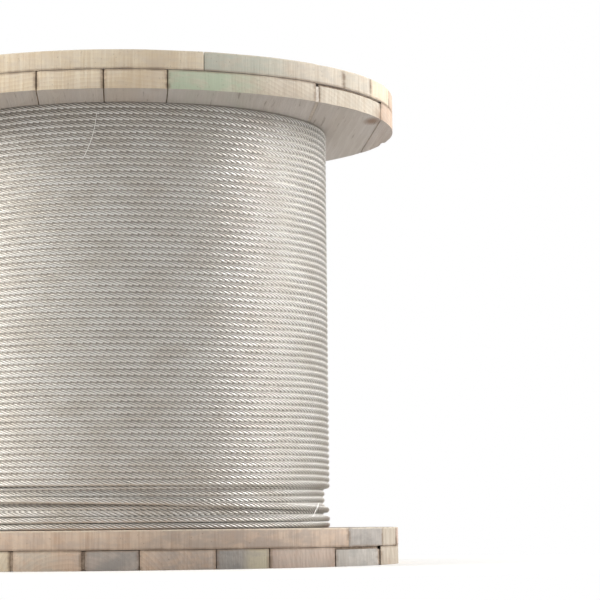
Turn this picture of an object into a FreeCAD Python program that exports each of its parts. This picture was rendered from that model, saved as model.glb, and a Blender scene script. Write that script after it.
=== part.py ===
"""Steel wire rope wound on a wooden reel that stands on one flange, in millimetres.

The reel has two round flanges. Each is two layers of rough boards, crossed at right angles, cut round and
nailed through. A drum of staves stands between them, and four tie rods inside the drum clamp the flanges on.
The rope lies on the drum in close turns, layer on layer. Its outer layer leaves a gap above the lower flange,
where a few turns of the layer below show, and its end runs out onto that flange under two staples.

The frame's origin is the centre of the reel's lower face, and +Z is the reel's axis, upwards.
The front of the reel faces -Y.
"""
import FreeCAD, Part
import math
import os

import Sketcher
from FreeCAD import Placement, Rotation, Vector

SIZES = {
    "flange_diameter": 750,
    "board_thickness": 25,
    "board_gap": 0.8,
    "open_joint_gap": 4,
    "shrunk_board_loss": 3,
    "arbor_hole_diameter": 80,
    "traverse": 552,
    "drum_diameter": 332,
    "stave_thickness": 25,
    "stave_count": 12,
    "stave_gap_angle": 0.3,
    "rod_diameter": 12,
    "rod_count": 4,
    "rod_to_stave_distance": 31,
    "rod_side_clearance": 1,
    "rod_end_past_nut": 2,
    "rod_end_setback": 2,
    "washer_diameter": 44,
    "washer_thickness": 4,
    "washer_side_clearance": 3,
    "nut_across_flats": 18,
    "nut_height": 10.8,
    "thread_clearance": 0.1,
    "nail_diameter": 3.4,
    "nail_head_diameter": 7.5,
    "nail_head_thickness": 1.2,
    "nail_head_setback": 0.5,
    "nail_point_cover": 1.5,
    "nail_clearance": 0.05,
    "outer_nail_count": 24,
    "outer_nail_edge_distance": 22,
    "inner_nail_count": 12,
    "inner_nail_ring_diameter": 360,
    "rope_diameter": 8.2,
    "turn_gap": 0.07,
    "coil_clearance": 0.3,
    "layer_count": 16,
    "bottom_turns": 3,
    "gap_turns": 3,
    "tail_leaving_angle": 50,
    "tail_bend_radius": 520,
    "tail_length": 190,
    "tail_root_depth": 3,
    "tail_clearance": 0.05,
    "staple_wire_diameter": 2.5,
    "staple_clearance": 0.3,
    "staple_leg_depth": 16,
}

# Where the joints between boards lie, from one side of a flange to the other. The boards fill the disc
# whatever its size, so a joint is a share of the flange's radius, with the gap that it leaves.
TIGHT = "board_gap"
OPEN = "open_joint_gap"
UPPER_OUTER_JOINTS = [(-0.645, TIGHT), (-0.485, TIGHT), (-0.265, TIGHT), (-0.04, TIGHT), (0.185, TIGHT),
                      (0.41, TIGHT), (0.65, TIGHT)]
UPPER_INNER_JOINTS = [(-0.76, TIGHT), (-0.53, TIGHT), (-0.305, TIGHT), (-0.078, TIGHT), (0.137, TIGHT),
                      (0.66, OPEN), (0.92, TIGHT)]
LOWER_INNER_JOINTS = [(-0.648, TIGHT), (-0.434, TIGHT), (-0.22, TIGHT), (0.0, TIGHT), (0.21, TIGHT),
                      (0.42, TIGHT), (0.64, TIGHT)]
LOWER_OUTER_JOINTS = [(-0.8, TIGHT), (-0.6, TIGHT), (-0.386, OPEN), (-0.149, OPEN), (0.036, TIGHT),
                      (0.29, TIGHT), (0.472, TIGHT), (0.708, TIGHT), (0.886, OPEN)]
BEYOND_RIM = 1.05

# Where the staples stand, as shares of the rope's free end.
STAPLE_SHARES = [0.78, 0.93]
# A turn stands proud of the wall behind it by this share of its radius.
RIDGE_SHARE = 0.5
NUT_CORNER_SHARE = 1 / (2 * math.cos(math.radians(30)))

doc = FreeCAD.newDocument("WireRopeReel")
sheet = doc.addObject("Spreadsheet::Sheet", "Sizes")
for row, (alias, number) in enumerate(SIZES.items(), start=1):
    sheet.set(f"A{row}", alias)
    sheet.set(f"B{row}", str(number))
    sheet.setAlias(f"B{row}", alias)
doc.recompute()

# Derived sizes, as expressions on the sheet's cells.
FLANGE_RADIUS = "(Sizes.flange_diameter / 2)"
FLANGE_THICKNESS = "(2 * Sizes.board_thickness)"
REEL_HEIGHT = f"(Sizes.traverse + 2 * {FLANGE_THICKNESS})"
UPPER_FLANGE_Z = f"(Sizes.traverse + {FLANGE_THICKNESS})"
DRUM_RADIUS = "(Sizes.drum_diameter / 2)"
ROD_RADIUS = "(Sizes.rod_diameter / 2)"
ROD_HOLE_RADIUS = f"({ROD_RADIUS} + Sizes.rod_side_clearance)"
ROD_CIRCLE_RADIUS = f"({DRUM_RADIUS} - Sizes.stave_thickness - Sizes.rod_to_stave_distance)"
RECESS_RADIUS = "(Sizes.washer_diameter / 2 + Sizes.washer_side_clearance)"
NUT_DEPTH = "(Sizes.rod_end_setback + Sizes.rod_end_past_nut)"
WASHER_DEPTH = f"({NUT_DEPTH} + Sizes.nut_height)"
RECESS_DEPTH = f"({WASHER_DEPTH} + Sizes.washer_thickness)"
ROPE_RADIUS = "(Sizes.rope_diameter / 2)"
TURN_PITCH = "(Sizes.rope_diameter + Sizes.turn_gap)"
LAYER_RISE = f"sqrt(Sizes.rope_diameter ^ 2 - ({TURN_PITCH} / 2) ^ 2)"
COIL_BORE = f"({DRUM_RADIUS} + Sizes.coil_clearance)"
OUTER_ROW_RADIUS = f"({COIL_BORE} + {ROPE_RADIUS} + (Sizes.layer_count - 1) * {LAYER_RISE})"
INNER_ROW_RADIUS = f"({OUTER_ROW_RADIUS} - {LAYER_RISE})"
UPPER_TURNS = f"floor(Sizes.traverse / {TURN_PITCH} - Sizes.bottom_turns - Sizes.gap_turns - 0.5)"

nodes = {}


def bind(thing, **expressions):
    """Ties properties of an object to expressions. A double underscore in a name stands for a dot."""
    for name, expression in expressions.items():
        thing.setExpression(name.replace("__", "."), str(expression))
    return thing


def at(thing, x="0", y="0", z="0"):
    """Places an object at a point whose coordinates are expressions."""
    return bind(thing, Placement__Base__x=x, Placement__Base__y=y, Placement__Base__z=z)


def cylinder(name, radius, height, x="0", y="0", z="0"):
    thing = doc.addObject("Part::Cylinder", name)
    bind(thing, Radius=radius, Height=height)
    return at(thing, x, y, z)


def combined(kind, name, base, tool):
    """A boolean of two objects, of the kind Cut, Fuse or Common."""
    thing = doc.addObject(f"Part::{kind}", name)
    thing.Base = base
    thing.Tool = tool
    return thing


def gathered(name, things):
    thing = doc.addObject("Part::Compound", name)
    thing.Links = things
    return thing


def node(thing, label):
    """Names an object that is a sub-part of its own."""
    thing.Label = label
    nodes[label] = thing
    return thing


def ring_places(radius, count):
    """Places round a circle as pairs of expressions, the first one half a step from +X."""
    for number in range(count):
        angle = f"(360 * {number + 0.5} / {count})"
        yield f"{radius} * cos({angle})", f"{radius} * sin({angle})"


def rod_places():
    return list(ring_places(ROD_CIRCLE_RADIUS, int(sheet.rod_count)))


def nail_places():
    """An outer ring of nails near the rim and an inner ring outside the drum."""
    outer_radius = f"({FLANGE_RADIUS} - Sizes.outer_nail_edge_distance)"
    yield from ring_places(outer_radius, int(sheet.outer_nail_count))
    yield from ring_places("(Sizes.inner_nail_ring_diameter / 2)", int(sheet.inner_nail_count))


def nail(name, end, x, y, clearance):
    """One nail through both layers of a flange, its head just below the outer face, or the hole that it
    fills when a clearance is given. The hole runs out through the face over the head."""
    reach = f"({FLANGE_THICKNESS} - Sizes.nail_head_setback - Sizes.nail_point_cover)"
    head_depth = "Sizes.nail_head_thickness"
    head_z = "Sizes.nail_head_setback"
    if clearance != "0":
        head_depth = "(Sizes.nail_head_thickness + Sizes.nail_head_setback)"
        head_z = "0"
    shank_z = "Sizes.nail_head_setback"
    if end == "upper":
        shank_z = f"({REEL_HEIGHT} - Sizes.nail_head_setback - {reach})"
        head_z = f"({REEL_HEIGHT} - {head_z} - {head_depth})"
    shank = cylinder(f"{name}Shank", f"Sizes.nail_diameter / 2 + {clearance}", reach, x, y, shank_z)
    head = cylinder(f"{name}Head", f"Sizes.nail_head_diameter / 2 + {clearance}", head_depth, x, y, head_z)
    return combined("Fuse", name, shank, head)


def flange_nails(end):
    nails = [nail("Nail", end, x, y, "0") for x, y in nail_places()]
    node(gathered("Nails", nails), f"{end}_flange_nails")


def flange_holes(end):
    """The holes of one flange: the arbor hole, the tie rods' holes, the recesses for their washers and nuts,
    and the nails' holes."""
    bottom = "0" if end == "lower" else UPPER_FLANGE_Z
    recess_z = "0" if end == "lower" else f"({REEL_HEIGHT} - {RECESS_DEPTH})"
    holes = [cylinder("ArborHole", "Sizes.arbor_hole_diameter / 2", FLANGE_THICKNESS, z=bottom)]
    for x, y in rod_places():
        holes.append(cylinder("RodHole", ROD_HOLE_RADIUS, FLANGE_THICKNESS, x, y, bottom))
        holes.append(cylinder("Recess", RECESS_RADIUS, RECESS_DEPTH, x, y, recess_z))
    for x, y in nail_places():
        holes.append(nail("NailHole", end, x, y, "Sizes.nail_clearance"))
    return gathered("FlangeHoles", holes)


def tail_place(share):
    """A point on the centre line of the rope's free end, at the flange's face, and the way across the rope
    there, outwards. The free end starts inside the lowest turn and bends away from the coil."""
    row_radius = sheet.drum_diameter / 2 + sheet.coil_clearance + sheet.rope_diameter / 2
    half_pitch = (sheet.rope_diameter + sheet.turn_gap) / 2
    row_radius += (sheet.layer_count - 1) * math.sqrt(sheet.rope_diameter ** 2 - half_pitch ** 2)
    leaving = math.radians(sheet.tail_leaving_angle)
    outward = Vector(math.cos(leaving), math.sin(leaving), 0)
    centre = outward * (row_radius - sheet.tail_root_depth - sheet.tail_bend_radius)
    angle = leaving + share * sheet.tail_length / sheet.tail_bend_radius
    across = Vector(math.cos(angle), math.sin(angle), 0)
    face = Vector(0, 0, 2 * sheet.board_thickness)
    return centre + across * sheet.tail_bend_radius + face, across


def staple_feet(share):
    """Where a staple's two legs enter the flange, one on each side of the rope's free end."""
    middle, across = tail_place(share)
    reach = (sheet.rope_diameter + sheet.staple_wire_diameter) / 2 + sheet.staple_clearance
    return middle - across * reach, middle + across * reach


def staple_holes():
    holes = []
    for share in STAPLE_SHARES:
        for foot in staple_feet(share):
            hole = cylinder("StapleHole", "Sizes.staple_wire_diameter / 2 + Sizes.nail_clearance",
                            "Sizes.staple_leg_depth", str(foot.x), str(foot.y),
                            f"{FLANGE_THICKNESS} - Sizes.staple_leg_depth")
            holes.append(hole)
    return gathered("StapleHoles", holes)


def staple(share):
    """A bent wire staple over the rope's free end, its two legs driven into the lower flange."""
    wire = sheet.staple_wire_diameter / 2
    inner_foot, outer_foot = staple_feet(share)
    up = Vector(0, 0, 1)
    point = up * -sheet.staple_leg_depth
    shoulder = up * (sheet.rope_diameter / 2)
    crown = (inner_foot + outer_foot) / 2 + shoulder + up * (outer_foot - inner_foot).Length / 2
    inner_leg = Part.LineSegment(inner_foot + point, inner_foot + shoulder).toShape()
    arch = Part.Arc(inner_foot + shoulder, crown, outer_foot + shoulder).toShape()
    outer_leg = Part.LineSegment(outer_foot + shoulder, outer_foot + point).toShape()
    path = Part.Wire([inner_leg, arch, outer_leg])
    section = Part.Wire(Part.makeCircle(wire, inner_foot + point, up))
    thing = doc.addObject("Part::Feature", "Staple")
    thing.Shape = path.makePipeShell([section], True, False)
    return thing


def board_spans(joints):
    """The two sides of each board across its layer, as expressions, from the joints between boards."""
    starts = [f"-{BEYOND_RIM} * {FLANGE_RADIUS}"]
    ends = []
    for share, gap in joints:
        ends.append(f"{share} * {FLANGE_RADIUS} - Sizes.{gap} / 2")
        starts.append(f"{share} * {FLANGE_RADIUS} + Sizes.{gap} / 2")
    ends.append(f"{BEYOND_RIM} * {FLANGE_RADIUS}")
    return list(zip(starts, ends))


def board(label, disc, grain_axis, across, along, bottom, height):
    """One board: the part of its layer's disc that lies in the board's own straight-sided block."""
    block = doc.addObject("Part::Box", f"Block_{label}")
    x_span, y_span = (along, across) if grain_axis == "x" else (across, along)
    bind(block, Length=f"({x_span[1]}) - ({x_span[0]})", Width=f"({y_span[1]}) - ({y_span[0]})", Height=height)
    at(block, x_span[0], y_span[0], bottom)
    return node(combined("Common", f"Board_{label}", block, disc), label)


def board_layer(prefix, bottom, grain_axis, joints, cuts, shrunk=None, butt=None):
    """A layer of boards side by side. One board may have shrunk thinner, which opens a gap above it, and one
    may be made of two lengths that butt at a share of the radius."""
    disc = cylinder(f"Stock_{prefix}", FLANGE_RADIUS, "Sizes.board_thickness", z=bottom)
    for holes in cuts:
        disc = combined("Cut", f"Disc_{prefix}", disc, holes)
    full_length = (f"-{BEYOND_RIM} * {FLANGE_RADIUS}", f"{BEYOND_RIM} * {FLANGE_RADIUS}")
    for number, across in enumerate(board_spans(joints), start=1):
        height = "Sizes.board_thickness"
        if number == shrunk:
            height += " - Sizes.shrunk_board_loss"
        label = f"{prefix}_board_{number}"
        if butt and number == butt[0]:
            left = (full_length[0], f"{butt[1]} * {FLANGE_RADIUS} - Sizes.board_gap / 2")
            right = (f"{butt[1]} * {FLANGE_RADIUS} + Sizes.board_gap / 2", full_length[1])
            board(f"{label}_left", disc, grain_axis, across, left, bottom, height)
            board(f"{label}_right", disc, grain_axis, across, right, bottom, height)
        else:
            board(label, disc, grain_axis, across, full_length, bottom, height)


def drum_staves():
    """The drum's staves, each a sector of the drum's wall between the flanges."""
    count = int(sheet.stave_count)
    for number in range(count):
        outside = cylinder("StaveOutside", DRUM_RADIUS, "Sizes.traverse")
        inside = cylinder("StaveInside", f"{DRUM_RADIUS} - Sizes.stave_thickness", "Sizes.traverse")
        for sector in (outside, inside):
            bind(sector, Angle=f"360 / {count} - Sizes.stave_gap_angle")
        stave = combined("Cut", "Stave", outside, inside)
        stave.Placement = Placement(Vector(0, 0, 0), Rotation(Vector(0, 0, 1), 360 * number / count))
        bind(stave, Placement__Base__z=FLANGE_THICKNESS)
        node(stave, f"drum_stave_{number + 1}")


def tie_rods():
    """The rods through both flanges, with a washer and a nut sunk in a recess at each end."""
    rod_length = f"({REEL_HEIGHT} - 2 * Sizes.rod_end_setback)"
    for number, (x, y) in enumerate(rod_places(), start=1):
        node(cylinder("TieRod", ROD_RADIUS, rod_length, x, y, "Sizes.rod_end_setback"), f"tie_rod_{number}")
    rod_fittings("lower", WASHER_DEPTH, NUT_DEPTH)
    rod_fittings("upper", f"({REEL_HEIGHT} - {RECESS_DEPTH})", f"({REEL_HEIGHT} - {WASHER_DEPTH})")


def rod_fittings(end, washer_z, nut_z):
    """The washers and nuts at one end of the rods."""
    washers = []
    nuts = []
    for x, y in rod_places():
        plate = cylinder("WasherPlate", "Sizes.washer_diameter / 2", "Sizes.washer_thickness", x, y, washer_z)
        hole = cylinder("WasherHole", ROD_HOLE_RADIUS, "Sizes.washer_thickness", x, y, washer_z)
        washers.append(combined("Cut", "Washer", plate, hole))
        block = doc.addObject("Part::Prism", "NutBlock")
        block.Polygon = 6
        bind(block, Circumradius=f"Sizes.nut_across_flats * {NUT_CORNER_SHARE}", Height="Sizes.nut_height")
        at(block, x, y, nut_z)
        thread = cylinder("NutThread", f"{ROD_RADIUS} + Sizes.thread_clearance", "Sizes.nut_height", x, y, nut_z)
        nuts.append(combined("Cut", "Nut", block, thread))
    node(gathered("Washers", washers), f"{end}_washers")
    node(gathered("Nuts", nuts), f"{end}_nuts")


def origin_feature(body, role):
    for feature in body.Origin.OriginFeatures:
        if feature.Role == role:
            return feature
    raise ValueError(f"{body.Name} has no {role}")


def new_sketch(body, name, plane):
    sketch = body.newObject("Sketcher::SketchObject", name)
    sketch.AttachmentSupport = [(origin_feature(body, plane), "")]
    sketch.MapMode = "FlatFace"
    return sketch


def dimension(sketch, kind, geometry, point, expression):
    """Holds a point's distance from the sketch's origin, along X or Y, to an expression."""
    index = sketch.addConstraint(Sketcher.Constraint(kind, -1, 1, geometry, point, 1.0))
    sketch.setExpression(f"Constraints[{index}]", expression)


def revolved(body, sketch, name):
    feature = body.newObject("PartDesign::Revolution", name)
    feature.Profile = sketch
    feature.ReferenceAxis = (sketch, ["V_Axis"])
    feature.Angle = 360
    sketch.Visibility = False
    return feature


def turned_ring(body, name, left, right, bottom, top):
    """A ring of rectangular section, turned about the reel's axis."""
    sketch = new_sketch(body, f"{name}Sketch", "XZ_Plane")
    corners = [Vector(300, 100, 0), Vector(310, 100, 0), Vector(310, 110, 0), Vector(300, 110, 0)]
    for start, end in zip(corners, corners[1:] + corners[:1]):
        sketch.addGeometry(Part.LineSegment(start, end), False)
    for side in range(4):
        sketch.addConstraint(Sketcher.Constraint("Coincident", side, 2, (side + 1) % 4, 1))
        sketch.addConstraint(Sketcher.Constraint("Horizontal" if side % 2 == 0 else "Vertical", side))
    dimension(sketch, "DistanceX", 0, 1, left)
    dimension(sketch, "DistanceX", 2, 1, right)
    dimension(sketch, "DistanceY", 0, 1, bottom)
    dimension(sketch, "DistanceY", 2, 1, top)
    return revolved(body, sketch, name)


def wall_behind(row_radius):
    """The radius of the wall that a row of turns stands on."""
    return f"({row_radius} + {RIDGE_SHARE} * {ROPE_RADIUS})"


def turns(body, name, row_radius, bottom, count):
    """Turns of rope one above another, each a round ridge on the wall behind it."""
    sketch = new_sketch(body, f"{name}Sketch", "XZ_Plane")
    reach = math.acos(RIDGE_SHARE)
    arc = Part.ArcOfCircle(Part.Circle(Vector(300, 100, 0), Vector(0, 0, 1), 4), -reach, reach)
    sketch.addGeometry(arc, False)
    sketch.addGeometry(Part.LineSegment(arc.EndPoint, arc.StartPoint), False)
    sketch.addConstraint(Sketcher.Constraint("Coincident", 0, 2, 1, 1))
    sketch.addConstraint(Sketcher.Constraint("Coincident", 1, 2, 0, 1))
    sketch.addConstraint(Sketcher.Constraint("Vertical", 1))
    size = sketch.addConstraint(Sketcher.Constraint("Radius", 0, 4))
    sketch.setExpression(f"Constraints[{size}]", ROPE_RADIUS)
    dimension(sketch, "DistanceX", 0, 3, row_radius)
    dimension(sketch, "DistanceY", 0, 3, f"{bottom} + 0.5 * {TURN_PITCH}")
    dimension(sketch, "DistanceX", 1, 1, wall_behind(row_radius))
    ridge = revolved(body, sketch, f"{name}Ridge")
    pattern = body.newObject("PartDesign::LinearPattern", name)
    pattern.Originals = [ridge]
    pattern.Direction = (origin_feature(body, "Z_Axis"), [""])
    bind(pattern, Length=f"({count} - 1) * {TURN_PITCH}", Occurrences=count)
    body.Tip = pattern


def free_end(body):
    """The rope's free end, which leaves the lowest turn and lies on the lower flange."""
    sheet_angle = sheet.tail_leaving_angle
    height = f"{FLANGE_THICKNESS} + {ROPE_RADIUS}"
    start, middle, end = (tail_place(share)[0] for share in (0, 0.5, 1))
    drop = Vector(0, 0, start.z)
    route = new_sketch(body, "FreeEndRoute", "XY_Plane")
    bind(route, AttachmentOffset__Base__z=height)
    route.addGeometry(Part.Arc(start - drop, middle - drop, end - drop), False)
    section = new_sketch(body, "FreeEndSection", "XZ_Plane")
    section.AttachmentOffset = Placement(Vector(0, 0, 0), Rotation(Vector(0, 1, 0), sheet_angle))
    section.addGeometry(Part.Circle(Vector(270, 54, 0), Vector(0, 0, 1), 4), False)
    dimension(section, "DistanceX", 0, 3, f"{OUTER_ROW_RADIUS} - Sizes.tail_root_depth")
    dimension(section, "DistanceY", 0, 3, height)
    size = section.addConstraint(Sketcher.Constraint("Radius", 0, 4))
    section.setExpression(f"Constraints[{size}]", f"{ROPE_RADIUS} - Sizes.tail_clearance")
    pipe = body.newObject("PartDesign::AdditivePipe", "FreeEnd")
    pipe.Profile = section
    pipe.Spine = (route, [])
    for sketch in (route, section):
        sketch.Visibility = False


def wire_rope():
    """The wound rope as one turned solid with its bore. The turns of its outer layer are ridges, and so are
    those of the layer below, where the outer layer leaves a gap above its lowest turns."""
    body = doc.addObject("PartDesign::Body", "WireRope")
    bottom = FLANGE_THICKNESS
    top = UPPER_FLANGE_Z
    gap_bottom = f"({bottom} + Sizes.bottom_turns * {TURN_PITCH})"
    gap_top = f"({top} - {UPPER_TURNS} * {TURN_PITCH})"
    gap_slack = f"({gap_top} - {gap_bottom} - Sizes.gap_turns * {TURN_PITCH})"
    turned_ring(body, "LowerLayers", COIL_BORE, wall_behind(INNER_ROW_RADIUS), bottom, top)
    turned_ring(body, "UpperWall", COIL_BORE, wall_behind(OUTER_ROW_RADIUS), gap_top, top)
    turned_ring(body, "BottomWall", COIL_BORE, wall_behind(OUTER_ROW_RADIUS), bottom, gap_bottom)
    turns(body, "GapTurns", INNER_ROW_RADIUS, f"({gap_bottom} + {gap_slack} / 2)", "Sizes.gap_turns")
    turns(body, "UpperTurns", OUTER_ROW_RADIUS, gap_top, UPPER_TURNS)
    turns(body, "BottomTurns", OUTER_ROW_RADIUS, bottom, "Sizes.bottom_turns")
    free_end(body)
    return node(body, "wire_rope")


lower_cuts = flange_holes("lower")
upper_cuts = flange_holes("upper")
board_layer("lower_outer", "0", "y", LOWER_OUTER_JOINTS, [lower_cuts], shrunk=9)
board_layer("lower_inner", "Sizes.board_thickness", "x", LOWER_INNER_JOINTS, [lower_cuts, staple_holes()])
board_layer("upper_inner", UPPER_FLANGE_Z, "y", UPPER_INNER_JOINTS, [upper_cuts], shrunk=7)
board_layer("upper_outer", f"{UPPER_FLANGE_Z} + Sizes.board_thickness", "x", UPPER_OUTER_JOINTS, [upper_cuts],
            butt=(1, 0.26))
for flange in ("lower", "upper"):
    flange_nails(flange)
drum_staves()
tie_rods()
wire_rope()
node(gathered("Staples", [staple(share) for share in STAPLE_SHARES]), "rope_staples")
doc.recompute()

for thing in doc.Objects:
    if "Invalid" in thing.State or "Error" in thing.State:
        raise RuntimeError(f"{thing.Label} did not build: {thing.State}")
for label, thing in nodes.items():
    if thing.Shape.isNull() or not thing.Shape.isValid() or not thing.Shape.Solids:
        raise RuntimeError(f"{label} has no valid solid")

os.makedirs("parts", exist_ok=True)
for label, thing in nodes.items():
    thing.Shape.exportStep(f"parts/{label}.step")
print(len(nodes), "nodes,", sum(len(thing.Shape.Solids) for thing in nodes.values()), "solids")
rope = nodes["wire_rope"].Shape
print("rope: solids", len(rope.Solids), "volume", round(rope.Volume / 1e6, 3), "litres, box", rope.BoundBox)
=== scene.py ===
"""Steel wire rope wound on a wooden reel: looks and finishes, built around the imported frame, in metres.

The rope is real geometry: six strands laid right-handed, wound on in close turns. Every board of the two
flanges is a rough-sawn piece with worn edges. The front of the reel faces -Y.
"""

import math

import bmesh
import bpy
import numpy as np
from mathutils import Matrix, Vector, noise


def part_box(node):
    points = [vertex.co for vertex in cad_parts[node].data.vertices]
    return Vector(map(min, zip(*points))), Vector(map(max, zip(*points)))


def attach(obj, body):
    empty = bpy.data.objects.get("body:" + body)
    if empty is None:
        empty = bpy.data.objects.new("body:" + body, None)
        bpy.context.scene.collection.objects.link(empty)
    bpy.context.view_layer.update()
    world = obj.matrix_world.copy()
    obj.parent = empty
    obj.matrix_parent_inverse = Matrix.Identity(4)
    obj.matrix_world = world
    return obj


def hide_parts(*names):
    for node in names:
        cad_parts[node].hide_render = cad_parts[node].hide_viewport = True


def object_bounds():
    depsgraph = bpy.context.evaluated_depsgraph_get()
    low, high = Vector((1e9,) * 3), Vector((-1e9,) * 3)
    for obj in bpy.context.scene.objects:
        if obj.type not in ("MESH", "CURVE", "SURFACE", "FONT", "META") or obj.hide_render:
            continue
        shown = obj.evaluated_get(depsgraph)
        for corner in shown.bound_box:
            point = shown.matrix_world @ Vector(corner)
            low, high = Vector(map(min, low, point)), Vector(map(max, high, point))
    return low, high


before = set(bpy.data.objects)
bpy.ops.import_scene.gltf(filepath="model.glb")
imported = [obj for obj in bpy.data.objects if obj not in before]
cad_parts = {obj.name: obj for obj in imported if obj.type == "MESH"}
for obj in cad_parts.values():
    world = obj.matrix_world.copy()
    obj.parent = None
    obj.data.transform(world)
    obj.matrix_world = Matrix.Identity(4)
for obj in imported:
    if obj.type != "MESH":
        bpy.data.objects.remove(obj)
cad_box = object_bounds()

MM = 0.001

# The rope: six strands round a core, laid right-handed.
ROPE_RADIUS = 4.1 * MM
TURN_PITCH = 8.27 * MM
LAYER_RISE = math.sqrt((2 * ROPE_RADIUS) ** 2 - (TURN_PITCH / 2) ** 2)
STRAND_COUNT = 6
STRAND_RADIUS = ROPE_RADIUS / 3
LAY_LENGTH = 51.5 * MM
WIRES_PER_LAY = 48
STRAY_WIRE_RADIUS = 0.45 * MM
STRAY_WIRE_GAP = 0.6 * MM
# How finely a strand and a lay are divided, and how deep the groove between two strands is let in.
POINTS_PER_STRAND = 3
STEPS_PER_LAY = 9
GROOVE_SHARE = 0.58
MERGE_DISTANCE = 0.02 * MM
# Old grease fills the bottoms of the grooves between turns, up to this far outside the rope's centres.
GREASE_LEVEL = 1.8 * MM
INNER_GREASE_SHARE = 0.7
CORE_CLEARANCE = 0.3 * MM
CORE_SEGMENTS = 128
# How far the turns stray from their even rows, in pitches, and how often in a turn.
DRIFT = 0.035
DRIFTS_PER_TURN = 5.1

# The coil, from the frame. Its free end lies beyond the coil only towards +X and +Y.
coil_low, coil_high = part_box("wire_rope")
COIL_BOTTOM = coil_low[2]
COIL_TOP = coil_high[2]
OUTER_ROW = -coil_low[0] - ROPE_RADIUS
INNER_ROW = OUTER_ROW - LAYER_RISE
DRUM_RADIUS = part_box("drum_stave_1")[1][0]
UPPER_TURNS = 60
UPPER_LENGTHS = 4
POINTS_PER_TURN = 180
LOOSE_POINTS = 440
BOTTOM_POINTS = 400
TAIL_POINTS = 40
# The lowest turn of the full outer layer, where it passes the front of the reel.
LAST_ROW_Z = COIL_TOP - (UPPER_TURNS - 0.5) * TURN_PITCH

# Angles run anticlockwise from the front of the reel, seen from above.
FRONT = -math.pi / 2

FLANGE_RADIUS = cad_box[1][0]
REEL_HEIGHT = cad_box[1][2]
LOWER_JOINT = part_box("lower_inner_board_4")[0][2]
UPPER_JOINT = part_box("upper_outer_board_4")[0][2]

# The free end: where it leaves the lowest turn, and the wide arc that it lies in.
TAIL_LEAVING = math.radians(50)
TAIL_BEND = 520 * MM
TAIL_LENGTH = 190 * MM

# The flanges: what is cut out of their boards, and how their edges are finished.
ARBOR_RADIUS = 40 * MM
THROUGH = 60 * MM
CUTTER_OVERRUN = 5 * MM
RECESS_RADIUS = 25 * MM
RECESS_DEPTH = 18.8 * MM
NAIL_DENT_RADIUS = 3.8 * MM
NAIL_DENT_DEPTH = 0.55 * MM
NAIL_CIRCLES = ((FLANGE_RADIUS - 22 * MM, 24), (180 * MM, 12))
RIM_SEGMENTS = 320
RIM_TOLERANCE = 0.2 * MM
LONG_EDGE = 60 * MM
EDGE_STEP = 12 * MM
EDGE_ROUND = 1.1 * MM
SHARP_EDGE = 0.6
EDGE_WEAR = 0.3 * MM
CHIP_DEPTH = 5 * MM
WORN_RIM = 3 * MM
WORN_FACE = 4 * MM
FACE_TOLERANCE = 0.3 * MM
# How far an upright corner is rounded, in mm, where a board has no value of its own.
CORNER_ROUND = 1.6

# Dirt packed into the open joints, toned to stand in for the shade inside them as well (painted shade).
FILL_CLEARANCE = 0.02 * MM
FILL_UNEVENNESS = 0.6 * MM
FILL_CUTS = 60
SLOT_SET_BACK = 5 * MM

# The camera: a long lens close to the floor. Its angles are in radians.
CAMERA_PLACE = (0, -3.313, 0.0556)
CAMERA_LENS = 141.9
CAMERA_TURN = -0.0731
CAMERA_TILT = 0.0943
CAMERA_ROLL = -0.0103
FLOOR_REACH = 9.0
FADE_START = 0.45
FADE_END = 0.95


# ---------------------------------------------------------------- making and placing pieces

def mesh_piece(name, bm, material, replaced=(), slot=None, smooth_angle=None):
    """Turns a bmesh into a finished piece that rides on the reel."""
    mesh = bpy.data.meshes.new(name)
    bm.to_mesh(mesh)
    bm.free()
    return piece_of_mesh(name, mesh, material, replaced, slot, smooth_angle)


def piece_of_mesh(name, mesh, material, replaced=(), slot=None, smooth_angle=None):
    piece = bpy.data.objects.new(name, mesh)
    bpy.context.scene.collection.objects.link(piece)
    mesh.materials.clear()
    mesh.materials.append(material)
    if smooth_angle is not None:
        mesh.shade_smooth()
        mesh.set_sharp_from_angle(angle=smooth_angle)
    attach(piece, "root")
    if replaced:
        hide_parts(*replaced)
    return piece


def evaluated(piece):
    """The mesh of a piece with its modifiers applied."""
    graph = bpy.context.evaluated_depsgraph_get()
    return bpy.data.meshes.new_from_object(piece.evaluated_get(graph))


# ---------------------------------------------------------------- shader building

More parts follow.
